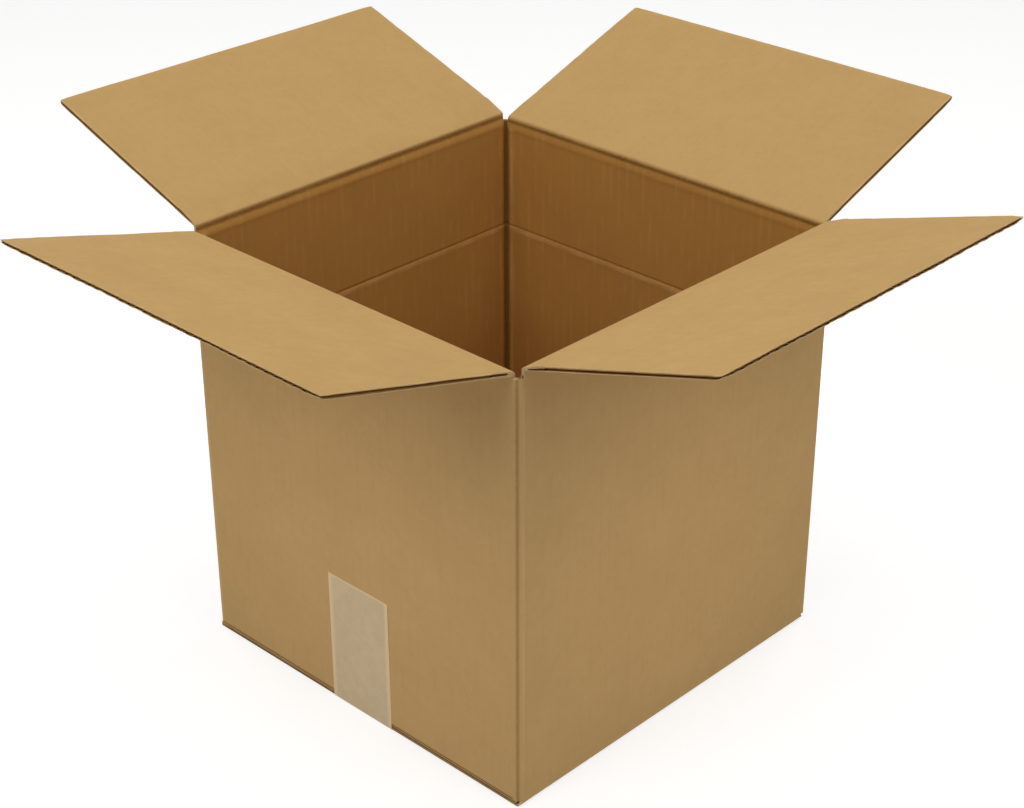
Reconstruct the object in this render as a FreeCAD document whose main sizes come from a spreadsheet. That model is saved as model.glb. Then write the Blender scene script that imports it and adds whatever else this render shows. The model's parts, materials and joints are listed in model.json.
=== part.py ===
"""Open top shipping carton of corrugated board, erected and taped underneath.

The carton stands on the floor with its origin at the centre of its underside, +Z up. Its front
wall, which carries the tape, faces -Y and its right wall faces +X. One folded sheet makes the four
walls and the two layers of the bottom. The four top flaps turn about creases at the wall tops and
are drawn splayed outwards.
"""
import FreeCAD, Part
import math
import os

import Sketcher

# Driving sizes in millimetres, each with the words that explain it
SIZES = (
    ("box_length", 260.0, "outer size from the left wall to the right wall"),
    ("box_width", 260.0, "outer size from the front wall to the back wall"),
    ("box_height", 268.0, "height of the front and back creases above the floor"),
    ("board", 3.0, "thickness of the corrugated board"),
    ("layer_gap", 0.3, "air between two sheets that lie on each other"),
    ("fold_radius", 3.5, "outer radius of a fold"),
    ("slot_inset", 4.3, "half the width of the slot between two flaps"),
    ("slot_play", 0.3, "air between a closed flap and the corner beside it"),
    ("slot_overrun", 0.5, "depth of a slot below the lower crease"),
    ("corner_foot", 0.5, "height of the corner columns above the floor"),
    ("under_play", 0.3, "distance of the lowest layer's cut edges inside the walls"),
    ("hinge_offset", 0.15, "distance of a crease axis outside its wall"),
    ("mitre_drop", 0.36, "distance from a crease axis to the edge of wall or flap"),
    ("meeting_gap", 0.6, "air between two flaps that meet in the middle"),
    ("score_height", 195.0, "height of the extra score line above the floor"),
    ("score_width", 1.8, "width of the pressed score groove"),
    ("score_depth", 0.5, "depth of the pressed score groove"),
    ("tab_reach", 35.0, "reach of the glue tab along the right wall"),
    ("tab_clear", 9.0, "distance of the glue tab from the creases above and below"),
    ("tab_taper", 12.0, "taper of each end of the glue tab"),
    ("joint_slit", 0.3, "width of the seam at the glued corner"),
    ("liner", 0.4, "thickness of each flat face of the board"),
    ("medium", 0.4, "thickness of the wavy sheet between the faces"),
    ("flute_pitch", 6.5, "distance from one flute to the next"),
    ("flute_root", 0.6, "half width of the strip where a flute meets a face"),
    ("crush_band", 6.0, "width of crushed board beside a crease"),
    ("tape_width", 50.0, "width of the packing tape"),
    ("tape_shift", 2.4, "distance of the tape's middle right of the box's middle"),
    ("tape_rise", 87.6, "height of the tape's ends above the floor"),
    ("tape_sheet", 0.1, "thickness of the packing tape"),
)

# How far the top flaps stand open, in degrees
ANGLES = (
    ("front_open", 74.4, "angle of the front flap from upright, outwards"),
    ("back_open", 70.3, "angle of the back flap from upright, outwards"),
    ("left_open", 70.8, "angle of the left flap from upright, outwards"),
    ("right_open", 72.6, "angle of the right flap from upright, outwards"),
)

# Levels and reaches that several pieces share, as formulas of the sheet
HALF_LENGTH = "(Sizes.box_length / 2)"
HALF_WIDTH = "(Sizes.box_width / 2)"
LOW_CREASE = "Sizes.box_height"
HIGH_CREASE = "(Sizes.box_height + Sizes.board + Sizes.layer_gap)"
SECOND_LAYER = "(Sizes.board + Sizes.layer_gap)"
SLOT_EDGE = "(Sizes.slot_inset - Sizes.slot_play)"
HALF_MEETING = "(Sizes.meeting_gap / 2)"

doc = FreeCAD.newDocument("open_carton")
sheet = doc.addObject("Spreadsheet::Sheet", "Sizes")
for row, (alias, number, words) in enumerate(SIZES + ANGLES, start=1):
    sheet.set(f"A{row}", words)
    sheet.set(f"B{row}", str(number))
    sheet.setAlias(f"B{row}", alias)
doc.recompute()


def new_body(name):
    """Empty body whose label names the piece."""
    body = doc.addObject("PartDesign::Body", name)
    body.Label = name
    body.AllowCompound = True
    return body


def new_sketch(body, name, role, level="0"):
    """Sketch on one of the body's origin planes, moved along the plane's normal by a formula."""
    sketch = body.newObject("Sketcher::SketchObject", name)
    plane = next(item for item in body.Origin.OriginFeatures if item.Role == role)
    sketch.AttachmentSupport = [(plane, "")]
    sketch.MapMode = "FlatFace"
    sketch.setExpression("AttachmentOffset.Base.z", level)
    return sketch


def outline(sketch, corners):
    """Closed outline of straight lines, drawn roughly and then pinned corner by corner."""
    first = sketch.GeometryCount
    count = len(corners)
    turn = 2 * math.pi / count
    rough = [FreeCAD.Vector(math.cos(i * turn), math.sin(i * turn), 0) for i in range(count)]
    for i in range(count):
        sketch.addGeometry(Part.LineSegment(rough[i], rough[(i + 1) % count]))
    for i in range(count):
        following = first + (i + 1) % count
        sketch.addConstraint(Sketcher.Constraint("Coincident", first + i, 2, following, 1))
    for i, (across, up) in enumerate(corners):
        for kind, formula in (("DistanceX", across), ("DistanceY", up)):
            index = sketch.addConstraint(Sketcher.Constraint(kind, -1, 1, first + i, 1, 1.0))
            sketch.setExpression(f"Constraints[{index}]", formula)


def pad(body, name, sketch, length, both_ways=False, downwards=False):
    """Adds the sketch's outline to the body over a length given by a formula."""
    feature = body.newObject("PartDesign::Pad", name)
    feature.Profile = sketch
    feature.setExpression("Length", length)
    feature.Midplane = both_ways
    feature.Reversed = downwards
    body.Tip = feature
    doc.recompute()
    return feature


def pocket(body, name, sketch, depth, upwards=False):
    """Cuts the sketch's outline out of the body over a depth given by a formula."""
    feature = body.newObject("PartDesign::Pocket", name)
    feature.Profile = sketch
    feature.setExpression("Length", depth)
    feature.Reversed = upwards
    before = body.Shape.Volume
    body.Tip = feature
    doc.recompute()
    if body.Shape.Volume >= before:
        raise RuntimeError(name + " cuts nothing")
    return feature


def fillet(body, name, radius, wanted):
    """Rounds the straight edges of the body's tip whose middle the test picks out."""
    tip = body.Tip
    names = []
    for index, edge in enumerate(tip.Shape.Edges, start=1):
        if len(edge.Vertexes) == 2 and wanted(edge.CenterOfMass, edge.tangentAt(edge.FirstParameter)):
            names.append(f"Edge{index}")
    feature = body.newObject("PartDesign::Fillet", name)
    feature.Base = (tip, names)
    feature.setExpression("Radius", radius)
    body.Tip = feature
    doc.recompute()
    return feature


def near(value, target):
    """True where two lengths agree."""
    return abs(value - target) < 0.01


def carton_body():
    """The folded sheet: walls, vertical folds, bottom flaps in two layers and the glue tab."""
    body = new_body("carton_body")
    half_length = sheet.box_length / 2
    half_width = sheet.box_width / 2
    board = sheet.board
    second_layer = board + sheet.layer_gap

    # Left and right walls, mitred at the top crease and folded under as the outer bottom layer
    section = new_sketch(body, "SideSection", "XZ_Plane")
    for sign in ("-", ""):
        outline(section, (
            (f"{sign}{HALF_LENGTH}", "0"),
            (f"{sign}{HALF_MEETING}", "0"),
            (f"{sign}{HALF_MEETING}", "Sizes.board"),
            (f"{sign}({HALF_LENGTH} - Sizes.board)", "Sizes.board"),
            (f"{sign}({HALF_LENGTH} - Sizes.board)", f"{HIGH_CREASE} - Sizes.mitre_drop - Sizes.board"),
            (f"{sign}{HALF_LENGTH}", f"{HIGH_CREASE} - Sizes.mitre_drop"),
        ))
    pad(body, "SideWalls", section, f"Sizes.box_width - 2 * {SLOT_EDGE}", both_ways=True)
    fillet(body, "SideFoldsOutside", "Sizes.fold_radius",
           lambda at, way: near(abs(at.x), half_length) and near(at.z, 0) and abs(way.y) > 0.9)
    fillet(body, "SideFoldsInside", "Sizes.fold_radius - Sizes.board",
           lambda at, way: near(abs(at.x), half_length - board) and near(at.z, board)
           and abs(way.y) > 0.9)

    # Front and back walls, folded under as the inner bottom layer
    section = new_sketch(body, "EndSection", "YZ_Plane")
    for sign in ("-", ""):
        outline(section, (
            (f"{sign}{HALF_WIDTH}", SECOND_LAYER),
            (f"{sign}{HALF_MEETING}", SECOND_LAYER),
            (f"{sign}{HALF_MEETING}", f"{SECOND_LAYER} + Sizes.board"),
            (f"{sign}({HALF_WIDTH} - Sizes.board)", f"{SECOND_LAYER} + Sizes.board"),
            (f"{sign}({HALF_WIDTH} - Sizes.board)", f"{LOW_CREASE} - Sizes.mitre_drop - Sizes.board"),
            (f"{sign}{HALF_WIDTH}", f"{LOW_CREASE} - Sizes.mitre_drop"),
        ))
    pad(body, "EndWalls", section, f"Sizes.box_length - 2 * {SLOT_EDGE}", both_ways=True)
    fillet(body, "EndFoldsOutside", "Sizes.fold_radius",
           lambda at, way: near(abs(at.y), half_width) and near(at.z, second_layer)
           and abs(way.x) > 0.9)
    fillet(body, "EndFoldsInside", "Sizes.fold_radius - Sizes.board",
           lambda at, way: near(abs(at.y), half_width - board)
           and near(at.z, second_layer + board) and abs(way.x) > 0.9)

    # Corner columns between the slots, which join the four walls
    section = new_sketch(body, "CornerSection", "XY_Plane", "Sizes.corner_foot")
    for left in ("-", ""):
        for front in ("-", ""):
            outline(section, (
                (f"{left}{HALF_LENGTH}", f"{front}{HALF_WIDTH}"),
                (f"{left}{HALF_LENGTH}", f"{front}({HALF_WIDTH} - {SLOT_EDGE})"),
                (f"{left}({HALF_LENGTH} - Sizes.board)", f"{front}({HALF_WIDTH} - {SLOT_EDGE})"),
                (f"{left}({HALF_LENGTH} - Sizes.board)", f"{front}({HALF_WIDTH} - Sizes.board)"),
                (f"{left}({HALF_LENGTH} - {SLOT_EDGE})", f"{front}({HALF_WIDTH} - Sizes.board)"),
                (f"{left}({HALF_LENGTH} - {SLOT_EDGE})", f"{front}{HALF_WIDTH}"),
            ))
    pad(body, "Corners", section,
        f"{LOW_CREASE} - Sizes.mitre_drop - Sizes.slot_overrun - Sizes.corner_foot")

    def folded(at, way):
        """True for an upright edge at one of the three folded corners."""
        return abs(way.z) > 0.9 and not (at.x > 0 and at.y > 0)

    fillet(body, "CornerFoldsOutside", "Sizes.fold_radius",
           lambda at, way: folded(at, way) and near(abs(at.x), half_length)
           and near(abs(at.y), half_width))
    fillet(body, "CornerFoldsInside", "Sizes.fold_radius - Sizes.board",
           lambda at, way: folded(at, way) and near(abs(at.x), half_length - board)
           and near(abs(at.y), half_width - board))

    # Lowest layer, whose cut edges show under the front and back walls between the columns
    layer = new_sketch(body, "LowestLayer", "XY_Plane")
    edge = f"({HALF_WIDTH} - Sizes.under_play)"
    for sign in ("-", ""):
        outline(layer, (
            (f"{sign}{HALF_MEETING}", f"-{edge}"),
            (f"{sign}({HALF_LENGTH} - {SLOT_EDGE})", f"-{edge}"),
            (f"{sign}({HALF_LENGTH} - {SLOT_EDGE})", edge),
            (f"{sign}{HALF_MEETING}", edge),
        ))
    pad(body, "LowestEdges", layer, "Sizes.board")

    # Glue tab, which continues the back wall along the inside of the right wall
    tab = new_sketch(body, "TabOutline", "YZ_Plane", f"{HALF_LENGTH} - Sizes.board")
    low = f"{SECOND_LAYER} + Sizes.board + Sizes.tab_clear"
    high = f"{LOW_CREASE} - Sizes.board - Sizes.tab_clear"
    outline(tab, (
        (f"{HALF_WIDTH} - Sizes.board / 2", low),
        (f"{HALF_WIDTH} - Sizes.board / 2", high),
        (f"{HALF_WIDTH} - Sizes.board - Sizes.tab_reach", f"{high} - Sizes.tab_taper"),
        (f"{HALF_WIDTH} - Sizes.board - Sizes.tab_reach", f"{low} + Sizes.tab_taper"),
    ))
    pad(body, "GlueTab", tab, "Sizes.board", downwards=True)

    # Seam where the right wall's cut edge closes over the fold of the glue tab
    seam = new_sketch(body, "SeamOutline", "XY_Plane")
    outline(seam, (
        (f"{HALF_LENGTH} - Sizes.board - Sizes.joint_slit", f"{HALF_WIDTH} - Sizes.board"),
        (f"{HALF_LENGTH} - Sizes.board", f"{HALF_WIDTH} - Sizes.board"),
        (f"{HALF_LENGTH} - Sizes.board", f"{HALF_WIDTH} + Sizes.board"),
        (f"{HALF_LENGTH} - Sizes.board - Sizes.joint_slit", f"{HALF_WIDTH} + Sizes.board"),
    ))
    pocket(body, "Seam", seam, "Sizes.box_height", upwards=True)

    # Extra score line pressed into the inside of all four walls
    score = new_sketch(body, "ScoreOutline", "XY_Plane", "Sizes.score_height + Sizes.score_width / 2")
    reach_x = f"({HALF_LENGTH} - Sizes.board + Sizes.score_depth)"
    reach_y = f"({HALF_WIDTH} - Sizes.board + Sizes.score_depth)"
    outline(score, (
        (f"-{reach_x}", f"-{reach_y}"),
        (reach_x, f"-{reach_y}"),
        (reach_x, reach_y),
        (f"-{reach_x}", reach_y),
    ))
    pocket(body, "ScoreLine", score, "Sizes.score_width")

    # The tape beds into the underside by its own thickness
    bed = new_sketch(body, "TapeBed", "XY_Plane")
    left_edge = "Sizes.tape_shift - Sizes.tape_width / 2"
    right_edge = "Sizes.tape_shift + Sizes.tape_width / 2"
    outline(bed, (
        (left_edge, f"-{HALF_WIDTH}"),
        (right_edge, f"-{HALF_WIDTH}"),
        (right_edge, HALF_WIDTH),
        (left_edge, HALF_WIDTH),
    ))
    pocket(body, "TapeRecess", bed, "Sizes.tape_sheet", upwards=True)
    return body


def bottom_tape():
    """The strip of tape: up the front wall, along the bottom seam and up the back wall."""
    body = new_body("bottom_tape")
    section = new_sketch(body, "TapeSection", "YZ_Plane", "Sizes.tape_shift")
    outside = f"({HALF_WIDTH} + Sizes.tape_sheet)"
    outline(section, (
        (f"-{outside}", "Sizes.tape_rise"),
        (f"-{outside}", "0"),
        (outside, "0"),
        (outside, "Sizes.tape_rise"),
        (HALF_WIDTH, "Sizes.tape_rise"),
        (HALF_WIDTH, "Sizes.tape_sheet"),
        (f"-{HALF_WIDTH}", "Sizes.tape_sheet"),
        (f"-{HALF_WIDTH}", "Sizes.tape_rise"),
    ))
    pad(body, "Strip", section, "Sizes.tape_width", both_ways=True)
    tape_sheet = sheet.tape_sheet
    half_width = sheet.box_width / 2
    fillet(body, "StripOutside", "Sizes.under_play + Sizes.tape_sheet",
           lambda at, way: near(abs(at.y), half_width + tape_sheet) and near(at.z, 0)
           and abs(way.x) > 0.9)
    fillet(body, "StripInside", "Sizes.under_play",
           lambda at, way: near(abs(at.y), half_width) and near(at.z, tape_sheet)
           and abs(way.x) > 0.9)
    return body


def top_flap(name, crease_length, reach, axis_place, heading, opening):
    """One top flap, drawn upright on its crease axis and then turned to its place.

    The sheet's own axes are X along the crease, Y inwards and Z up the flap. The flutes run up
    the flap as open channels from its free edge to the crushed band at the crease.
    """
    body = new_body(name)
    face_out = "Sizes.hinge_offset"
    face_in = "(Sizes.hinge_offset + Sizes.board)"
    side = new_sketch(body, name + "_side", "YZ_Plane")
    outline(side, (
        (face_out, "Sizes.mitre_drop"),
        (face_in, "Sizes.mitre_drop + Sizes.board"),
        (face_in, reach),
        (face_out, reach),
    ))
    width = f"({crease_length} - 2 * Sizes.slot_inset)"
    pad(body, name + "_board", side, width, both_ways=True)

    # Flute channels: one on each face of the wavy sheet, repeated along the crease
    count = f"floor({width} / Sizes.flute_pitch - 1)"
    start = f"(-({count} + 0.5) * Sizes.flute_pitch / 2)"
    low = f"({face_out} + Sizes.liner)"
    high = f"({face_in} - Sizes.liner)"
    pitch = "Sizes.flute_pitch"
    root = "Sizes.flute_root"
    flutes = new_sketch(body, name + "_flutes", "XY_Plane", reach)
    outline(flutes, (
        (f"{start} + {root}", high),
        (f"{start} + {pitch} - {root}", high),
        (f"{start} + {pitch} / 2 + Sizes.medium", f"{low} + Sizes.medium"),
        (f"{start} + {pitch} / 2 - Sizes.medium", f"{low} + Sizes.medium"),
    ))
    outline(flutes, (
        (f"{start} + {pitch} / 2 + {root}", low),
        (f"{start} + {pitch} * 3 / 2 - {root}", low),
        (f"{start} + {pitch} + Sizes.medium", f"{high} - Sizes.medium"),
        (f"{start} + {pitch} - Sizes.medium", f"{high} - Sizes.medium"),
    ))
    channel = pocket(body, name + "_channel", flutes, f"{reach} - Sizes.crush_band")
    pattern = body.newObject("PartDesign::LinearPattern", name + "_channels")
    pattern.Originals = [channel]
    x_axis = next(item for item in body.Origin.OriginFeatures if item.Role == "X_Axis")
    pattern.Direction = (x_axis, [""])
    pattern.setExpression("Occurrences", count)
    pattern.setExpression("Length", f"({count} - 1) * Sizes.flute_pitch")
    body.Tip = pattern
    doc.recompute()

    # Slot edges cut along the flutes, so each shows one long groove between the two faces
    edges = new_sketch(body, name + "_edges", "XY_Plane", reach)
    groove = f"({start} + {root} - Sizes.medium)"
    for sign in ("", "-"):
        outline(edges, (
            (f"{sign}(-{width} / 2)", low),
            (f"{sign}{groove}", low),
            (f"{sign}{groove}", high),
            (f"{sign}(-{width} / 2)", high),
        ))
    pocket(body, name + "_grooves", edges, reach)

    turned = FreeCAD.Rotation(FreeCAD.Vector(0, 0, 1), heading)
    opened = FreeCAD.Rotation(FreeCAD.Vector(1, 0, 0), opening)
    body.Placement = FreeCAD.Placement(axis_place, turned * opened)
    return body


def all_flaps():
    """The two lower flaps on the front and back walls and the two upper ones on the sides."""
    low = sheet.box_height
    high = sheet.box_height + sheet.board + sheet.layer_gap
    out_x = sheet.box_length / 2 + sheet.hinge_offset
    out_y = sheet.box_width / 2 + sheet.hinge_offset
    side_reach = f"({HALF_LENGTH} + Sizes.hinge_offset - {HALF_MEETING})"
    end_reach = f"(min({HALF_LENGTH}; {HALF_WIDTH}) + Sizes.hinge_offset - {HALF_MEETING})"
    place = FreeCAD.Vector
    return [
        top_flap("flap_front", "Sizes.box_length", end_reach, place(0, -out_y, low), 0,
                 sheet.front_open),
        top_flap("flap_right", "Sizes.box_width", side_reach, place(out_x, 0, high), 90,
                 sheet.right_open),
        top_flap("flap_back", "Sizes.box_length", end_reach, place(0, out_y, low), 180,
                 sheet.back_open),
        top_flap("flap_left", "Sizes.box_width", side_reach, place(-out_x, 0, high), 270,
                 sheet.left_open),
    ]


pieces = [carton_body(), bottom_tape()] + all_flaps()
doc.recompute()
for item in doc.Objects:
    if "Invalid" in item.State or "Error" in item.State:
        raise RuntimeError(f"{item.Name} is {item.State}")
os.makedirs("parts", exist_ok=True)
for piece in pieces:
    shape = piece.Shape
    if shape.isNull() or not shape.isValid() or len(shape.Solids) != 1:
        raise RuntimeError(piece.Label + " is not one sound solid")
    shape.exportStep(f"parts/{piece.Label}.step")
    print(piece.Label, "volume", round(shape.Volume / 1000, 2), "cm3, faces", len(shape.Faces))
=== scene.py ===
"""Open top shipping carton of brown corrugated board, its four top flaps splayed outwards.

Every piece of board is worked out from its place on the flat blank: u runs round the four walls
in the order right, front, left, back and glue tab, v runs up the flutes with 0 at the top crease,
and depth runs through the board from its outer face to its inner face. Lengths are in metres.
"""

import json
import math

import bpy
import numpy as np
from mathutils import Matrix, Vector


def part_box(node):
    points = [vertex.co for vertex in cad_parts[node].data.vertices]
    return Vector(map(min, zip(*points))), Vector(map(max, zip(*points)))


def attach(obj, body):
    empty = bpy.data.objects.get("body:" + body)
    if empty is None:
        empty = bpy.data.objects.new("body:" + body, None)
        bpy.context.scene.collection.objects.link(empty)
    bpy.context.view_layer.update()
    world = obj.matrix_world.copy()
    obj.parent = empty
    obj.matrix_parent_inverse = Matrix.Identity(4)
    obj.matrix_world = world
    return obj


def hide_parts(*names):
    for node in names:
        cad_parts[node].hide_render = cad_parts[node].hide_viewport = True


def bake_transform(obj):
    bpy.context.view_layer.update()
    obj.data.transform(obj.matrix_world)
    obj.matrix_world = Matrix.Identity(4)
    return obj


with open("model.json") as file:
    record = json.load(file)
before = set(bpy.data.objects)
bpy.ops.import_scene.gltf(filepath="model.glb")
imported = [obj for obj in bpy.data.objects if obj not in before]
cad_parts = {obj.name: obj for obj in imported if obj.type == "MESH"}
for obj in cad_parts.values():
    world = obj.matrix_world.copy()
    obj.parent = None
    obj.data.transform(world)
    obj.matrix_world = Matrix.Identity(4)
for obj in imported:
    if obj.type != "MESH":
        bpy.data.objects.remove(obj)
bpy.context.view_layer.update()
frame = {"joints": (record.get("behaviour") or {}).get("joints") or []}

MM = 0.001
body_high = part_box("carton_body")[1]
tape_low, tape_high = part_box("bottom_tape")
joints = {joint["child"]: joint for joint in frame["joints"]}

# Board and its folds. Depths count inwards from the board's outer face.
HALF_LENGTH = body_high.x
HALF_WIDTH = body_high.y
BOARD = 3.0 * MM
LINER = 0.6 * MM
MEDIUM = 0.42 * MM
FLUTE_PITCH = 6.5 * MM
FLUTE_SWING = (BOARD - 2 * LINER - MEDIUM) / 2
LAYER_GAP = 0.3 * MM  # between two layers of board that lie on each other
FOLD_RADIUS = 3.5 * MM
HINGE_OFFSET = abs(joints["front_flap"]["pos_m"][1]) - HALF_WIDTH
SLOT_INSET = 4.3 * MM  # from the box's side to a top flap's side edge
SLOT_EDGE = 4.0 * MM  # from the box's side to a slot
HALF_MEETING = 0.3 * MM  # half of the play where two flaps meet
LOW_CREASE = joints["front_flap"]["pos_m"][2]
HIGH_CREASE = joints["left_flap"]["pos_m"][2]
COLUMN_TOP = LOW_CREASE - 0.86 * MM  # the corner columns end at the slots
COLUMN_FOOT = 3.45 * MM
UNDER_PLAY = 0.3 * MM  # the lowest layer's cut edges lie this far in
CREASE_BAND = 11.0 * MM  # wall that belongs to the crease piece
CRUSH_BAND = 15.0 * MM  # flap that belongs to the crease piece
BOTTOM_BAND = 14.0 * MM  # wall that belongs to the bottom flap's sheet
UNDERSIDE = 0.12 * MM  # height of the lowest layer, on the tape
SCORE_HEIGHT = 195.0 * MM
SCORE_WIDTH = 1.8 * MM
SCORE_DEPTH = 0.5 * MM
TAB_FACE = HALF_LENGTH - BOARD - 0.15 * MM
TAB_REACH = 35.0 * MM
TAB_CLEAR = 9.0 * MM
TAB_TAPER = 12.0 * MM
TAPE_SHEET = 0.1 * MM

# How much thinner the board is pressed at each top crease, and how far its groove, with its line
# of painted shade, lies below
CREASE_SQUASH = {"front": 0.2 * MM, "right": 1.3 * MM, "back": 0.3 * MM, "left": 1.3 * MM}
LINE_DROP = {"front": 0.0, "right": 1.0 * MM, "back": 0.0, "left": 1.0 * MM}

# Colours of the paper and tape, as 8 bit values that a screen shows
KRAFT = (194, 157, 98)
KRAFT_OUTER = (197, 160, 105)
# The inner walls: the same liner, darker and browner, as painted shade inside the box
KRAFT_INNER_SHADED = (184, 134, 65)
# Rubbed paper, and painted highlights at folds, creases and the score line and between the flutes
KRAFT_RUBBED_AND_LIT = (214, 180, 127)
# Pressed lines, and painted shade at folds, creases and the score line
KRAFT_PRESSED_AND_SHADED = (116, 76, 22)
# Painted shade along the flutes
KRAFT_FLUTE_SHADE = (168, 130, 76)
KRAFT_FLECK = (150, 112, 64)
CORE_PAPER = (212, 180, 134)
CORE_SHADE = (84, 50, 14)
WAVE_PAPER = (168, 120, 62)
TAPE_FILM = (203, 178, 138)
TAPE_RIM = (222, 193, 147)
FLOOR_WHITE = (172, 172, 171)

# Light, as parts of the full plain light at which a colour renders as it is written
WORLD_LIGHT = 0.175
OVERHEAD_LIGHT = 0.245
SIDE_LIGHTS = {"right": 0.21, "front": 0.29, "left": 0.19, "back": 0.19}
LOW_LIGHTS = {"right": 0.33, "front": 0.3, "left": 0.24, "back": 0.24}
FLOOR_GLOW = 0.72
SIDE_LAMP_REACH, SIDE_LAMP_HEIGHT = 1.3, 1.25
LOW_LAMP_REACH, LOW_LAMP_HEIGHT = 0.5, 0.05


def linear(colour, strength=1.0):
    """Screen colour of 8 bits a channel as the linear colour of a shader, times strength."""
    share = np.array(colour) / 255.0
    curve = np.where(share <= 0.04045, share / 12.92, ((share + 0.055) / 1.055) ** 2.4)
    return (*(strength * part for part in curve.tolist()), 1.0)


# Shapes


def smooth(value, start, end):
    """Rises from 0 at start to 1 at end along a smooth S curve."""
    t = np.clip((value - start) / (end - start), 0.0, 1.0)
    return t * t * (3.0 - 2.0 * t)


def bump(value, middle, half_width):
    """Bell of height 1 at middle that falls to 0 at half_width on both sides."""
    t = np.clip(np.abs(value - middle) / half_width, 0.0, 1.0)
    return (1.0 - t * t) ** 2


def wander(a, b, size, seed):
    """Slow waves between -1 and 1 over a and b: a sum of four sines of different direction and
    length, the longest of them about size long."""
    rng = np.random.default_rng(seed)
    total = np.zeros(np.broadcast(a, b).shape)
    for octave in range(4):
        turn = rng.uniform(0, math.pi)
        wave = 2 * math.pi / size * 1.7 ** octave
        phase = rng.uniform(0, 2 * math.pi)
        along = a * math.cos(turn) + b * math.sin(turn)
        total = total + np.sin(wave * along + phase) / 1.5 ** octave
    return total / 2.4


class Wall:
    """One wall of the blank: the corner where it starts, its way along and its way outwards."""

    def __init__(self, name, corner, along, start, length, crease, floor_layer):
        self.name = name
        self.corner = np.array(corner)
        self.along = np.array(along, float)
        self.outward = np.array([-along[1], along[0]], float)
        self.start = start
        self.length = length
        self.crease = crease
        self.floor_layer = floor_layer


def walls_of_blank():
    """The four walls and the glue tab, one after the other along the blank."""
    second = BOARD + LAYER_GAP
    rows = (
        ("right", (HALF_LENGTH, HALF_WIDTH), (0, -1), 2 * HALF_WIDTH, HIGH_CREASE, UNDERSIDE),
        ("front", (HALF_LENGTH, -HALF_WIDTH), (-1, 0), 2 * HALF_LENGTH, LOW_CREASE, second),
        ("left", (-HALF_LENGTH, -HALF_WIDTH), (0, 1), 2 * HALF_WIDTH, HIGH_CREASE, UNDERSIDE),
        ("back", (-HALF_LENGTH, HALF_WIDTH), (1, 0), HALF_LENGTH + TAB_FACE, LOW_CREASE, second),
        ("tab", (TAB_FACE, HALF_WIDTH), (0, -1), FOLD_RADIUS + TAB_REACH, LOW_CREASE, second),
    )
    walls = []
    start = 0.0
    for name, corner, along, length, crease, layer in rows:
        walls.append(Wall(name, corner, along, start, length, crease, layer))
        start += length
    return walls


WALLS = walls_of_blank()
WALL = {wall.name: wall for wall in WALLS}


def on_outline(wall, s):
    """Points of the outer face in plan, and the way outwards there, at distances s along a wall.

    A wall is straight, and its last fold radius before each folded corner is half of a round
    fold: the way outwards turns by 45 degrees in proportion to s, about the fold's centre.
    """
    s = np.asarray(s, float)
    folds_in = 0.0 if wall.name == "right" else 1.0
    folds_out = 0.0 if wall.name == "tab" else 1.0
    before = folds_in * np.clip(1.0 - s / FOLD_RADIUS, 0.0, 1.0)
    after = folds_out * np.clip(1.0 - (wall.length - s) / FOLD_RADIUS, 0.0, 1.0)
    turn = (after - before) * math.pi / 4
    way = np.cos(turn)[..., None] * wall.outward + np.sin(turn)[..., None] * wall.along
    low = FOLD_RADIUS if folds_in else 0.0
    high = wall.length - (FOLD_RADIUS if folds_out else 0.0)
    foot = wall.corner + np.clip(s, low, high)[..., None] * wall.along
    return foot + (way - wall.outward) * FOLD_RADIUS, way


def fold_distance(s, wall):
    """Distance along the sheet from the nearest vertical fold of a wall."""
    return np.minimum(s, wall.length - s)


def score(z):
    """Pressed groove at the score line, from 0 to 1, at heights z."""
    return bump(z, SCORE_HEIGHT, SCORE_WIDTH / 2 + 0.35 * MM)


def corner_bulge_and_shading(wall, s, fray):
    """Inner face near a wall's vertical folds: how far it bulges in mm, and its painted shade and
    highlights.

    Distances count from where the inner face leaves the fold. The fold itself is pressed in and
    carries painted shade, a ridge with a painted highlight stands beside it, wider at the wall's
    start than at its end, and a thin darker line follows.
    """
    inner_arc = FOLD_RADIUS - 0.4 * MM
    in_start = np.maximum(s - inner_arc, 0) if wall.name != "right" else s + 1.0
    in_end = np.maximum(wall.length - s - inner_arc, 0) if wall.name != "tab" else s + 1.0
    in_beside = np.minimum(in_start, in_end)
    bulge = bump(in_beside, 4.6 * MM, 3.0 * MM) * (0.3 + 0.15 * fray)
    bulge = bulge - 0.8 * bump(in_beside, 0.0, 3.2 * MM)
    # Painted highlight on the ridge beside each fold and painted shade in the fold, varied by
    # fray, then a thin darker line
    ridge = 0.75 * bump(in_start, 4.8 * MM, 3.0 * MM) + 0.3 * bump(in_end, 4.2 * MM, 2.2 * MM)
    press = ridge * (0.5 + 0.5 * fray) - 0.75 * bump(in_beside, 0.0, 3.8 * MM)
    return bulge, press - 0.35 * bump(in_end, 7.0 * MM, 1.6 * MM)


def wall_bow(s, z, wall):
    """Slow unevenness of a wall, inwards, which fades out towards its folds and creases."""
    fade = smooth(fold_distance(s, wall), 6 * MM, 40 * MM)
    fade = fade * smooth(z, 20 * MM, 60 * MM) * smooth(wall.crease - z, 14 * MM, 50 * MM)
    seed = 11 + WALLS.index(wall)
    return fade * 0.35 * MM * (0.5 + 0.5 * wander(s, z, 170 * MM, seed))


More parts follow.
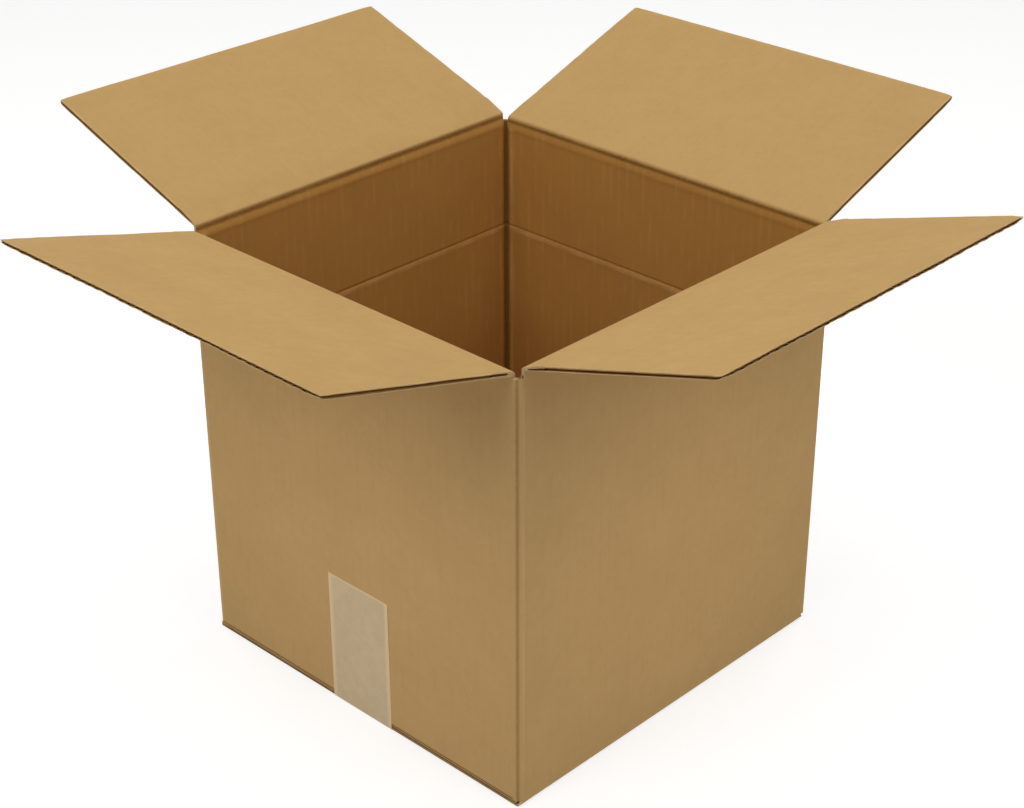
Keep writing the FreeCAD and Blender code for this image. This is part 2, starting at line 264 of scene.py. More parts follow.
def sheet(outer, inner, blank_outer, blank_inner, shade_and_wear_outer, shade_and_wear_inner, finishes,
          wall_rows=0, shaded_wall_finish=0):
    """Closed sheet between two grids of points of the same shape.

    Its faces are the outer grid, the inner grid turned round, and a strip along each of the four
    borders that joins the two. finishes holds the slot numbers of the outer face, the inner face
    and the cut edges, and shaded_wall_finish is the slot of the first wall_rows rows of the inner
    face: the inner walls' kraft, darker and browner as painted shade.
    If the signed volume comes out below 0, all faces are turned round.
    """
    rows, columns = outer.shape[:2]
    index = np.arange(rows * columns).reshape(rows, columns)
    a, b = index[:-1, :-1].ravel(), index[:-1, 1:].ravel()
    c, d = index[1:, 1:].ravel(), index[1:, :-1].ravel()
    far = rows * columns
    top = np.stack([a, b, c, d], 1)
    under = np.stack([d, c, b, a], 1) + far
    rim = np.concatenate([index[0, :], index[1:, -1], index[-1, -2::-1], index[-2:0:-1, 0]])
    after = np.roll(rim, -1)
    edge = np.stack([after, rim, rim + far, after + far], 1)
    points = np.concatenate([outer.reshape(-1, 3), inner.reshape(-1, 3)])
    faces = np.concatenate([top, under, edge])
    corner = points[faces]
    volume = np.einsum("ij,ij->i", corner[:, 0], np.cross(corner[:, 1], corner[:, 2])).sum()
    volume += np.einsum("ij,ij->i", corner[:, 0], np.cross(corner[:, 2], corner[:, 3])).sum()
    if volume < 0:
        faces = faces[:, ::-1]
    slots = np.repeat(finishes, [len(top), len(under), len(edge)])
    slots[len(top):len(top) + wall_rows * (columns - 1)] = shaded_wall_finish
    blank = np.concatenate([blank_outer.reshape(-1, 3), blank_inner.reshape(-1, 3)])
    press = np.concatenate([shade_and_wear_outer.ravel(), shade_and_wear_inner.ravel()])
    return {"points": points, "faces": faces, "slots": slots, "blank": blank, "press": press}


def piece(name, sheets, materials):
    """One object made of closed sheets, with its places on the blank and its pressed lines, rub
    marks, painted shade and painted highlights kept as the point attributes blank and press."""
    first = np.cumsum([0] + [len(part["points"]) for part in sheets])
    points = np.concatenate([part["points"] for part in sheets])
    faces = np.concatenate([part["faces"] + first[i] for i, part in enumerate(sheets)])
    mesh = bpy.data.meshes.new(name)
    mesh.from_pydata(points.tolist(), [], faces.tolist())
    for material in materials:
        mesh.materials.append(material)
    mesh.polygons.foreach_set("material_index", np.concatenate([p["slots"] for p in sheets]))
    blank = mesh.attributes.new("blank", "FLOAT_VECTOR", "POINT")
    blank.data.foreach_set("vector", np.concatenate([p["blank"] for p in sheets]).ravel())
    press = mesh.attributes.new("press", "FLOAT", "POINT")
    press.data.foreach_set("value", np.concatenate([p["press"] for p in sheets]))
    mesh.shade_smooth()
    mesh.set_sharp_from_angle(angle=math.radians(38))
    mesh.validate()
    made = bpy.data.objects.new(name, mesh)
    bpy.context.scene.collection.objects.link(made)
    return made


def stack(*parts):
    """Three arrays of any matching shapes as one array of vectors."""
    return np.stack(np.broadcast_arrays(*parts), -1)


def shell_columns(wall):
    """Distances along a wall where the shell has points, and whether each one is in a column.

    The corner columns end at the slots. Points stand closer together near the folds.
    """
    near = np.array([0.0, 0.6, 1.2, 1.8, 2.4, 3.0, 3.5, 4.0]) * MM
    off = np.array([4.0, 4.5, 5.1, 5.8, 6.5, 7.2, 8.0, 9.0, 10.2, 12.0, 17.0, 24.0]) * MM
    if wall.name == "tab":
        s = np.concatenate([near[1:-1], near[-2] + np.linspace(0, TAB_REACH, 8)])
        return s, np.arange(len(s)) < len(near) - 2
    middle = np.linspace(33 * MM, wall.length - 33 * MM, 27)
    s = np.concatenate([near, off, middle, wall.length - off[::-1], wall.length - near[::-1]])
    column = np.zeros(len(s), bool)
    column[:len(near)] = True
    column[-len(near):] = True
    if wall.name != "right":
        s, column = s[1:], column[1:]
    return s, column


def shell_levels():
    """Heights of the shell's rows as shares of three bands: foot, main part and head.

    Returns for each row how much it takes from the bottom edge and from the top edge, and its own
    height in the main part, where the rows stand closer together at the score line.
    """
    low, high = 30 * MM, 240 * MM
    foot = np.linspace(0, 1, 9)[:-1]
    groove = SCORE_HEIGHT + np.array([-6, -4.5, -3, -2, -1.5, -1.1, -0.8, -0.5, 0.0]) * MM
    groove = np.concatenate([groove, 2 * SCORE_HEIGHT - groove[-2::-1]])
    main = np.concatenate([np.linspace(low, 180 * MM, 16), groove, np.linspace(208 * MM, high, 4)])
    head = np.linspace(0, 1, 9)[1:]
    bottom_share = np.concatenate([1 - foot, np.zeros(len(main) + len(head))])
    top_share = np.concatenate([np.zeros(len(foot) + len(main)), head])
    own = np.concatenate([foot * low, main, (1 - head) * high])
    return bottom_share, top_share, own


def wall_shell(finishes):
    """The four walls and the glue tab as one sheet that runs round the box.

    Each point is the outline at u, moved inwards by its depth in the board. Outside, the sheet is
    pressed in a little beside each fold. Inside, it bulges beside each fold, has the groove of the
    score line, and bulges a little under that.
    """
    outer, inner, blank_outer, blank_inner, shade_and_wear_outer, shade_and_wear_inner = ([] for _ in range(6))
    bottom_share, top_share, own = shell_levels()
    for wall in WALLS:
        s, column = shell_columns(wall)
        bottom = np.where(column, COLUMN_FOOT, BOTTOM_BAND)
        top = np.where(column, COLUMN_TOP, wall.crease - CREASE_BAND)
        if wall.name == "tab":
            out = np.clip((s - FOLD_RADIUS) / TAB_REACH, 0, 1)
            second = 2 * BOARD + LAYER_GAP + TAB_CLEAR
            bottom = np.where(column, COLUMN_FOOT, second + TAB_TAPER * out)
            top = np.where(column, COLUMN_TOP, wall.crease - BOARD - TAB_CLEAR - TAB_TAPER * out)
        z = bottom_share[:, None] * bottom + top_share[:, None] * top + own[:, None]
        s = np.broadcast_to(s, z.shape)
        plan, way = on_outline(wall, s)
        to_start = s if wall.name != "right" else s + 1.0
        to_end = wall.length - s if wall.name != "tab" else s + 1.0
        beside = np.minimum(to_start, to_end)
        bow = wall_bow(s, z, wall) if wall.name != "tab" else 0.0 * s
        fray = 0.5 + 0.5 * wander(s * 3, z, 60 * MM, 40 + WALLS.index(wall))
        bulge, corner_shading = corner_bulge_and_shading(wall, s, fray)
        dent = bump(beside, 0.0, 3.2 * MM) * (0.10 + 0.08 * fray)
        under_score = bump(z, SCORE_HEIGHT - 2.6 * MM, 2.6 * MM)
        depth_out = bow + dent * MM
        depth_in = BOARD + bow + bulge * MM + 0.22 * MM * under_score - SCORE_DEPTH * score(z)
        for grid, depth in ((outer, depth_out), (inner, depth_in)):
            spot = plan - way * depth[..., None]
            grid.append(stack(spot[..., 0], spot[..., 1], z))
        u = wall.start + s
        v = z - wall.crease
        blank_outer.append(stack(u, v, 0.0))
        blank_inner.append(stack(u, v, BOARD))
        # Outside: a painted highlight strip beside the fold at the wall's end, and painted shade
        # along both vertical folds, wider at the wall's start
        rub_and_highlight = 0.7 * bump(to_end, 4.0 * MM, 2.2 * MM) * (0.5 + 0.5 * fray)
        shade_and_wear_outer.append(rub_and_highlight - 0.62 * bump(to_start, 0.4 * MM, 3.0 * MM)
                           - 0.5 * bump(to_end, 0.0, 2.0 * MM))
        clear_of_folds = smooth(fold_distance(s, wall), 7 * MM, 11 * MM)
        # Painted highlight on the bulge under the score line and painted shade in its groove, away
        # from the folds
        score_shading = 0.8 * under_score * (0.4 + 0.6 * fray) - 0.35 * score(z)
        shade_and_wear_inner.append(corner_shading + score_shading * clear_of_folds)
    grids = [np.concatenate(rows, 1) for rows in
             (outer, inner, blank_outer, blank_inner, shade_and_wear_outer, shade_and_wear_inner)]
    return sheet(*grids, finishes)


def side_frame(wall):
    """The way along, the way inwards and a point of a wall's outer face in the middle, in plan."""
    middle = wall.corner + wall.along * wall.length / 2
    if wall.name == "back":
        middle = np.array([0.0, HALF_WIDTH])
    return -wall.along, -wall.outward, middle


def strip(wall, across, inward, up, blank, press):
    """Grid of points along a wall: across, inward from its outer face and up from the floor."""
    way, inwards, middle = side_frame(wall)
    plan = middle + across[..., None] * way + inward[..., None] * inwards
    u = wall.start + np.dot(middle - wall.corner, wall.along) - across
    return stack(plan[..., 0], plan[..., 1], up), stack(u, blank[0], blank[1]), press


def bottom_flap(wall, finishes):
    """One bottom flap with the fold under its wall.

    The outer face runs down the wall, round a quarter turn a little fuller than a circle, and
    inwards to the middle, and the inner face lies one board inside it. The fold bulges a little
    inside, and is darker at the fold and lighter beyond it. Outside, painted shade runs along the
    wall just above the fold, which is lighter round its turn. The lowest layer is wider than its
    wall and shows its cut edges under the front and back walls.
    """
    radius = FOLD_RADIUS
    layer = wall.floor_layer
    reach = (HALF_LENGTH if wall.name in ("left", "right") else HALF_WIDTH) - HALF_MEETING
    across_half = HALF_WIDTH if wall.name in ("left", "right") else HALF_LENGTH
    down = np.linspace(BOTTOM_BAND, layer + radius, 7)[:-1]
    turn = np.radians(np.linspace(0, 90, 9))
    flat = radius + (reach - radius) * np.linspace(0, 1, 30)[1:] ** 1.3
    full = radius * (1 + 0.2 * np.sin(2 * turn) ** 2)
    inward = np.concatenate([0 * down, radius - full * np.cos(turn), flat])
    up = np.concatenate([down, layer + radius - full * np.sin(turn), layer + 0 * flat])
    way = np.concatenate([0 * down, turn, 0 * flat + math.pi / 2])
    length = np.concatenate([down, (layer + radius) - radius * turn,
                             layer + radius - flat - 2 * MM])
    half = np.full(len(length), across_half - SLOT_EDGE)
    if wall.name in ("left", "right"):
        half[len(down) + 1:] = across_half - UNDER_PLAY
        half[len(down) + 1:len(down) + 5] -= np.array([1.7, 1.3, 0.9, 0.4]) * MM
    across = half[:, None] * np.linspace(-1, 1, 61)
    length = np.broadcast_to(length[:, None], across.shape)
    inward, up, way = (np.broadcast_to(line[:, None], length.shape) for line in (inward, up, way))
    past_fold = radius + layer - length
    bulge = 0.3 * MM * bump(past_fold, 6 * MM, 4 * MM)
    depth = BOARD + bulge * (0.6 + 0.4 * wander(across, length, 30 * MM, 7))
    v = length - wall.crease
    flat_press = 0.0 * length
    # Outside: painted shade along the wall just above the fold, and lighter round the fold
    outside = strip(wall, across, inward, up, (v, flat_press),
                    0.5 * bump(past_fold, 3 * MM, 5 * MM) - 0.3 * bump(past_fold, -1 * MM, 2 * MM))
    # Inside: darker at the fold and lighter beyond it
    inside = strip(wall, across, inward + depth * np.cos(way), up + depth * np.sin(way),
                   (v, flat_press + BOARD),
                   0.5 * bump(past_fold, 7 * MM, 4 * MM) - bump(past_fold, 2 * MM, 2.2 * MM))
    return sheet(outside[0], inside[0], outside[1], inside[1], outside[2], inside[2], finishes)


class TopFlap:
    """Place of one top flap: its wall, hinge axis, opening, and reach from the axis."""

    def __init__(self, side):
        self.wall = WALL[side]
        self.body = side + "_flap"
        self.node = "flap_" + side
        joint = joints[self.body]
        self.axis_point = np.array(joint["pos_m"], float)
        self.crease_way = np.array(joint["axis"], float)
        self.inwards = np.cross((0, 0, 1), self.crease_way)
        self.open = math.pi - math.radians(joint["range_deg"][1])
        across = HALF_LENGTH if side in ("front", "back") else HALF_WIDTH
        self.half = across - SLOT_INSET
        self.reach = HALF_LENGTH + HINGE_OFFSET - HALF_MEETING

    def blank_u(self, across):
        """Place round the blank of points at a distance from the flap's middle."""
        offset = np.dot(self.axis_point[:2] - self.wall.corner, self.wall.along)
        return self.wall.start + offset - across

    def world(self, across, inward, up):
        """Points given along the crease, inwards and up from the hinge axis."""
        across, inward, up = (part[..., None] for part in np.broadcast_arrays(across, inward, up))
        up_way = np.array([0.0, 0.0, 1.0])
        return self.axis_point + across * self.crease_way + inward * self.inwards + up * up_way

    def on_flap(self, across, depth, v):
        """Points given along the crease, by depth in the board and up the flap from its axis.

        The upright flap is turned outwards about the hinge axis by its opening.
        """
        level = HINGE_OFFSET + depth
        cosine, sine = math.cos(self.open), math.sin(self.open)
        return self.world(across, level * cosine - v * sine, level * sine + v * cosine)

    def flap_bow(self, across, v):
        """Slow unevenness of the flap through its depth, nothing near the crease.

        The lower flaps sag away from the upper ones when all are closed, and the upper ones hump
        only a little, so that they clear their walls when they are folded right back.
        """
        rise = smooth(v, CRUSH_BAND, 70 * MM)
        seed = 60 + WALLS.index(self.wall)
        toward = -0.3 if self.wall.crease > LOW_CREASE else 1.0
        hump = 1.0 - (across / self.half) ** 2
        return rise * MM * (toward * 0.35 * hump + 0.18 * wander(across, v, 150 * MM, seed))


def flap_crease(flap, finishes, shaded_wall_finish):
    """The crease of a top flap: the last band of the wall, the fold and the first band of flap.

    Inside, the sheet runs up the wall, turns on an arc about the hinge axis and runs up the flap,
    with a bulge below the pressed line and a shoulder above it: painted shade lies in the line,
    and painted highlights on the bulge and the shoulder. Outside, it runs straight to the axis and
    straight on, with no points in between, so that both faces stay flat when the flap turns.
    """
    side = flap.wall.name
    squash = CREASE_SQUASH[side]
    board_in = HINGE_OFFSET + BOARD - squash
    wall_rise = np.array([-11, -10, -9, -8.2, -7.4, -6.6, -5.8, -5.1, -4.4, -3.8, -3.2, -2.6, -2,
                          -1.4, -0.9, -0.4]) * MM
    turn = np.linspace(0, flap.open, 12)
    flap_rise = np.array([0.4, 0.8, 1.3, 1.9, 2.6, 3.4, 4.3, 5.5, 7, 8.5, 10, 11.5, 13, 15]) * MM
    clear = 2.4 * MM
    count = len(wall_rise)
    columns = 170
    # Paths as inward and up from the axis, and v on the blank
    wall_in = board_in + squash * smooth(-wall_rise, 0.0, 8 * MM)
    flap_in = board_in + squash * smooth(flap_rise, -2 * MM, CRUSH_BAND)
    inward = np.concatenate([wall_in, board_in * np.cos(turn),
                             flap_in * math.cos(flap.open) - flap_rise * math.sin(flap.open)])
    up = np.concatenate([wall_rise, board_in * np.sin(turn),
                         flap_in * math.sin(flap.open) + flap_rise * math.cos(flap.open)])
    way = np.concatenate([0 * wall_rise, turn, 0 * flap_rise + flap.open])
    v = np.concatenate([wall_rise * (1 - 1.2 * MM / CREASE_BAND) - 1.2 * MM,
                        np.linspace(-1.2, 0.6, len(turn)) * MM,
                        flap_rise * (1 - 0.6 * MM / CRUSH_BAND) + 0.6 * MM])
    below_slot = (up < COLUMN_TOP - flap.axis_point[2]) & (way <= 0)
    half = flap.half + np.where(below_slot, SLOT_INSET - SLOT_EDGE, 0.0)
    share = np.linspace(-1, 1, columns)
    across = half[:, None] * share
    v, across = np.broadcast_arrays(v[:, None], across)
    inward, up, way = (np.broadcast_to(line[:, None], across.shape) for line in (inward, up, way))
    fray = 0.5 + 0.5 * wander(across, v * 4, 14 * MM, 80 + WALLS.index(flap.wall))
    slow = 0.5 + 0.5 * wander(across, v, 70 * MM, 90 + WALLS.index(flap.wall))
    line = v + LINE_DROP[side]
    groove = bump(line, -1.7 * MM, 2.5 * MM)
    bead = bump(line, -6.0 * MM, 2.6 * MM)
    shoulder = bump(line, 1.2 * MM, 1.2 * MM)
    u = flap.blank_u(across)
    corner_bulge, corner_shading = corner_bulge_and_shading(flap.wall, u - flap.wall.start, fray)
    below_line = smooth(-v, 3 * MM, 7 * MM)
    lift = MM * (0.28 * bead * (0.55 + 0.45 * fray) - 0.28 * groove * (0.75 + 0.25 * slow)
                 + corner_bulge * below_line)
    inner = flap.world(across, inward + lift * np.cos(way), up + lift * np.sin(way))
    # Painted shade in the crease's groove, painted highlights on the bulge below it and on the
    # shoulder above it, and the corners' painted shade and highlights below the line
    shade_and_wear_inner = (-0.8 * groove * (0.75 + 0.25 * slow) + 0.3 * bead * fray
                   + (0.1 + 0.25 * fray) * shoulder + corner_shading * below_line)
    blank_inner = stack(u, v, BOARD)

    # Outer face: straight, a tight fold at the axis, straight
    corner = HINGE_OFFSET / math.cos(flap.open / 2)
    below = np.linspace(-CREASE_BAND, -clear, count)
    above = np.linspace(clear, CRUSH_BAND, len(flap_rise))
    tight = np.linspace(-1, 1, len(turn))
    bisect = flap.open / 2
    tip_in = corner * math.cos(bisect) + 0.04 * MM * (np.abs(tight) - 1)
    tip_up = corner * math.sin(bisect) + 0.05 * MM * tight * math.cos(bisect)
    tip_in = tip_in - 0.05 * MM * tight * math.sin(bisect)
    out_in = np.concatenate([HINGE_OFFSET + 0 * below, tip_in,
                             HINGE_OFFSET * math.cos(flap.open) - above * math.sin(flap.open)])
    out_up = np.concatenate([below, tip_up,
                             HINGE_OFFSET * math.sin(flap.open) + above * math.cos(flap.open)])
    out_v = np.concatenate([below, tight * 0.3 * MM, above])
    out_in, out_up, out_v = (np.broadcast_to(line[:, None], across.shape)
                             for line in (out_in, out_up, out_v))
    outer = flap.world(across, out_in, out_up)
    shade_and_wear_outer = -0.8 * bump(out_v, 0, 1.6 * MM) + 0.4 * bump(out_v, 0, 6 * MM)
    # The wall rows of the inner face take the inner walls' kraft, darker and browner as painted
    # shade
    return sheet(outer, inner, stack(u, out_v, 0.0), blank_inner, shade_and_wear_outer, shade_and_wear_inner,
                 finishes, wall_rows=int(np.sum(line[:, 0] < -1.4 * MM)),
                 shaded_wall_finish=shaded_wall_finish)


def flap_panel(flap, liner_finish, wave_finish):
    """The flat part of a top flap: two liners and the wavy sheet between them.

    A liner lies at a constant depth, and the wavy sheet at the middle depth plus its swing times
    the sine of u over the flute pitch. The free edge is a little uneven, and the free corners are
    pinched: every depth is drawn towards the middle of the board there.
    """
    seed = 100 + 7 * WALLS.index(flap.wall)
    waves = 2 * flap.half / FLUTE_PITCH
    fine = np.linspace(-flap.half, flap.half, int(waves * 12) + 1)
    coarse = np.linspace(-flap.half, flap.half, 190)
    near_edge = 1 - 0.07 * (1 - np.linspace(0, 1, 12)[1:]) ** 1.6
    rows = np.concatenate([np.linspace(0, 0.93, 30), near_edge])

    def grid(columns, levels, depth):
        """Points, places on the blank and rubbed edges at the depth that a function gives."""
        across, t = np.meshgrid(columns, levels)
        u = flap.blank_u(across)
        to_side = flap.half - np.abs(across)
        ragged = 0.22 * MM * (0.5 + 0.5 * wander(across, 0 * across, 45 * MM, seed))
        ragged = ragged + 0.4 * MM * bump(to_side, 0, 3 * MM)
        v = CRUSH_BAND + t * (flap.reach - ragged - CRUSH_BAND)
        to_edge = flap.reach - v
        corner = smooth(10 * MM - np.hypot(to_edge, to_side), 0, 10 * MM)
        press = 0.5 + 0.5 * wander(across, v, 24 * MM, seed + 1)
        nip = 0.5 + 0.5 * wander(across, 0 * v, 11 * MM, seed + 2)
        at_edge = smooth(3 * MM - to_edge, 0, 3 * MM)
        at_side = smooth(3 * MM - to_side, 0, 3 * MM)
        edge_pinch = 0.24 + 0.10 * smooth(press, 0.45, 1.0) + 0.12 * smooth(nip, 0.3, 0.9)
        pinch = 0.2 * corner + at_edge * edge_pinch
        pinch = pinch + at_side * (0.08 + 0.12 * smooth(press, 0.4, 0.9))
        level = BOARD * (0.5 + 0.38 * at_edge)
        here = depth(u)
        crumple = 0.2 * MM * corner * wander(across * 1.3, v, 8 * MM, seed + 3)
        here = level + (here - level) * (1 - pinch) + crumple + flap.flap_bow(across, v)
        at_border = smooth(2.0 * MM - np.minimum(to_edge, to_side), 0, 2.0 * MM)
        rub_and_highlight = at_border * (0.35 + 0.65 * press)
        return flap.on_flap(across, here, v), stack(u, v, depth(u)), rub_and_highlight

    def layer(columns, levels, face, back, finishes):
        """Closed sheet between two depths."""
        front, rear = grid(columns, levels, face), grid(columns, levels, back)
        return sheet(front[0], rear[0], front[1], rear[1], front[2], rear[2], finishes)

    def wave(u):
        return BOARD / 2 + FLUTE_SWING * np.sin(2 * math.pi * u / FLUTE_PITCH)

    few = np.concatenate([np.linspace(0, 0.9, 8), [0.95, 0.98, 1.0 - 0.0015]])
    outside, inside, core = liner_finish
    return [
        layer(coarse, rows, lambda u: 0 * u, lambda u: 0 * u + LINER,
              (outside, wave_finish, core)),
        layer(coarse, rows, lambda u: 0 * u + BOARD - LINER, lambda u: 0 * u + BOARD,
              (wave_finish, inside, core)),
        layer(fine, few, lambda u: wave(u) - MEDIUM / 2, lambda u: wave(u) + MEDIUM / 2,
              (wave_finish, wave_finish, wave_finish)),
    ]


def tape_strip(finishes):
    """The tape: up the front wall, round the bottom fold, along the seam and up the back wall.

    Its path is two straight sides, two quarter circles and a straight bottom.
    """
    rise = tape_high.z
    radius = UNDER_PLAY + TAPE_SHEET
    span = 2 * HALF_WIDTH
    turn = np.radians(np.linspace(0, 90, 9))
    down = np.linspace(rise, radius, 34)[:-1]
    flat = np.linspace(radius, span - radius, 50)[1:-1]
    inward = np.concatenate([0 * down, radius - radius * np.cos(turn), flat,
                             span - radius + radius * np.sin(turn), span + 0 * down])
    up = np.concatenate([down, radius - radius * np.sin(turn), 0 * flat,
                         radius - radius * np.cos(turn), down[::-1]])
    way = np.concatenate([0 * down, turn, 0 * flat + math.pi / 2, math.pi / 2 + turn,
                          0 * down + math.pi])
    steps = np.hypot(np.diff(inward), np.diff(up))
    along = np.concatenate([[0], np.cumsum(steps)])
    columns = np.concatenate([tape_low.x + np.array([0, 0.5, 1.2, 1.8, 2.4, 3.1, 4]) * MM,
                              np.linspace(tape_low.x + 6 * MM, tape_high.x - 6 * MM, 24),
                              tape_high.x - np.array([4, 3.1, 2.4, 1.8, 1.2, 0.5, 0]) * MM])
    across, along = np.meshgrid(columns, along)
    inward, up, way = (np.broadcast_to(line[:, None], across.shape) for line in (inward, up, way))
    end = np.minimum(along, along.max() - along)
    side = np.minimum(across - tape_low.x, tape_high.x - across)
    rim = np.maximum(bump(end, 0, 2.6 * MM), bump(side, 0.8 * MM, 4.0 * MM))

    def face(depth):
        """Points at a depth inside the tape's outer face."""
        inwards = inward + (depth - TAPE_SHEET) * np.cos(way)
        return stack(across, inwards - HALF_WIDTH, up + depth * np.sin(way))

    blank = stack(across, along, 0.0)
    blank_under = stack(across, along, TAPE_SHEET)
    return sheet(face(0.0), face(TAPE_SHEET), blank, blank_under, rim, rim, finishes)


# Finishes


def node(tree, kind, links=(), **settings):
    """New node with its settings, and its inputs linked to a socket or set to a value."""
    made = tree.nodes.new(kind)
    for key, value in settings.items():
        setattr(made, key, value)
    for name, value in dict(links).items():
        if isinstance(value, bpy.types.NodeSocket):
            tree.links.new(value, made.inputs[name])
        else:
            made.inputs[name].default_value = value
    return made


def maths(tree, operation, *values):
    """Result of a maths node over one, two or three values or sockets."""
    return node(tree, "ShaderNodeMath", enumerate(values), operation=operation).outputs[0]


def ranged(tree, value, low, high, start=0.0, end=1.0):
    """Value carried smoothly from one range to another."""
    made = node(tree, "ShaderNodeMapRange", {"Value": value, "From Min": low, "From Max": high,
                                             "To Min": start, "To Max": end},
                interpolation_type="SMOOTHSTEP")
    return made.outputs["Result"]


def blend_colour(tree, share, first, second):
    """Colour between two colours by a share."""
    made = node(tree, "ShaderNodeMix", {0: share, 6: first, 7: second}, data_type="RGBA")
    return made.outputs[2]


def stretched(tree, place, scale):
    """Place on the blank, stretched by three numbers."""
    made = node(tree, "ShaderNodeVectorMath", {0: place, 1: scale}, operation="MULTIPLY")
    return made.outputs[0]


def noise(tree, place, scale, detail=2.0, roughness=0.5):
    """Noise value over the place on the blank."""
    made = node(tree, "ShaderNodeTexNoise", {"Vector": place, "Scale": scale, "Detail": detail,
                                             "Roughness": roughness})
    return made.outputs["Fac"]


def new_group(name, inputs, outputs):
    """Shader node group with named inputs and outputs."""
    group = bpy.data.node_groups.new(name, "ShaderNodeTree")
    for label, kind in inputs:
        group.interface.new_socket(label, in_out="INPUT", socket_type=kind)
    for label in outputs:
        group.interface.new_socket(label, in_out="OUTPUT", socket_type="NodeSocketFloat")
    start = group.nodes.new("NodeGroupInput")
    end = group.nodes.new("NodeGroupOutput")
    return group, start.outputs, end


def use_group(tree, group, links):
    """Group placed in a material, with its inputs linked or set."""
    return node(tree, "ShaderNodeGroup", links, node_tree=group).outputs


def paper_fibres():
    """Fine fibres along the machine direction, cloudy tone and small flecks of kraft paper."""
    group, given, end = new_group("paper fibres", [("Place", "NodeSocketVector")],
                                  ["Tone", "Fleck", "Height"])
    place = given["Place"]
    cloud = noise(group, place, 26.0, 3.0, 0.55)
    patch = noise(group, place, 130.0, 3.0, 0.6)
    fibre = noise(group, stretched(group, place, (900.0, 330.0, 900.0)), 1.0, 3.0, 0.65)
    grain = noise(group, place, 2300.0, 2.0, 0.6)
    tone = maths(group, "MULTIPLY_ADD", cloud, 0.34, maths(group, "MULTIPLY", patch, 0.30))
    tone = maths(group, "MULTIPLY_ADD", fibre, 0.20, tone)
    tone = maths(group, "MULTIPLY_ADD", grain, 0.16, tone)
    speck = noise(group, stretched(group, place, (640.0, 300.0, 640.0)), 1.0, 1.0)
    fleck = ranged(group, speck, 0.66, 0.76)
    group.links.new(tone, end.inputs["Tone"])
    group.links.new(fleck, end.inputs["Fleck"])
    height = maths(group, "MULTIPLY_ADD", grain, 0.5, maths(group, "MULTIPLY", fibre, 0.5))
    group.links.new(height, end.inputs["Height"])
    return group


def flute_lines():
    """Faint ridges over the flutes, and short streaks that follow them: painted shade on the
    ridges and in narrow lines along the flutes, and painted light between the ridges.
    """
    group, given, end = new_group("flute lines", [("Place", "NodeSocketVector"),
                                                  ("Pitch", "NodeSocketFloat")],
                                  ["Ridge", "Flute Shade", "Flute Light"])
    place = given["Place"]
    apart = node(group, "ShaderNodeSeparateXYZ", {0: place}).outputs
    wobble = maths(group, "MULTIPLY", noise(group, place, 18.0, 1.0), 2.4)
    turns = maths(group, "DIVIDE", apart["X"], given["Pitch"])
    wave = maths(group, "SINE", maths(group, "MULTIPLY_ADD", turns, 2 * math.pi, wobble))
    ridge = maths(group, "MULTIPLY_ADD", wave, 0.5, 0.5)
    broken = noise(group, stretched(group, place, (150.0, 34.0, 1.0)), 1.0, 3.0, 0.6)
    narrow = noise(group, stretched(group, place, (620.0, 44.0, 1.0)), 1.0, 2.0, 0.55)
    # Painted shade of the flutes' washboard: on the ridges, broken up, and in narrow lines along
    # the flutes
    dark = maths(group, "MULTIPLY", ranged(group, ridge, 0.55, 1.0),
                 ranged(group, broken, 0.46, 0.66))
    dark = maths(group, "MAXIMUM", dark, ranged(group, narrow, 0.58, 0.72))
    # Painted light of the flutes' washboard between the ridges, broken up
    pale = maths(group, "MULTIPLY", ranged(group, ridge, 0.45, 0.0),
                 ranged(group, broken, 0.54, 0.36))
    group.links.new(ridge, end.inputs["Ridge"])
    group.links.new(dark, end.inputs["Flute Shade"])
    group.links.new(pale, end.inputs["Flute Light"])
    return group


def fold_wear_and_shading():
    """Lines pressed into the paper and rub-worn ridges, with the painted shade and painted
    highlights that the press attribute carries at folds, creases and the score line, broken up by
    noise.
    """
    group, given, end = new_group("fold wear and shading", [("Place", "NodeSocketVector"),
                                                ("Press", "NodeSocketFloat")],
                                  ["Pressed", "Rubbed And Lit"])
    flake = noise(group, stretched(group, given["Place"], (420.0, 1100.0, 420.0)), 1.0, 3.0, 0.6)
    loose = maths(group, "MULTIPLY_ADD", flake, 0.9, -0.45)
    strength = maths(group, "ABSOLUTE", given["Press"])
    press = maths(group, "ADD", given["Press"], maths(group, "MULTIPLY", loose, strength))
    group.links.new(ranged(group, press, -0.12, -0.95), end.inputs["Pressed"])
    group.links.new(ranged(group, press, 0.12, 1.0), end.inputs["Rubbed And Lit"])
    return group


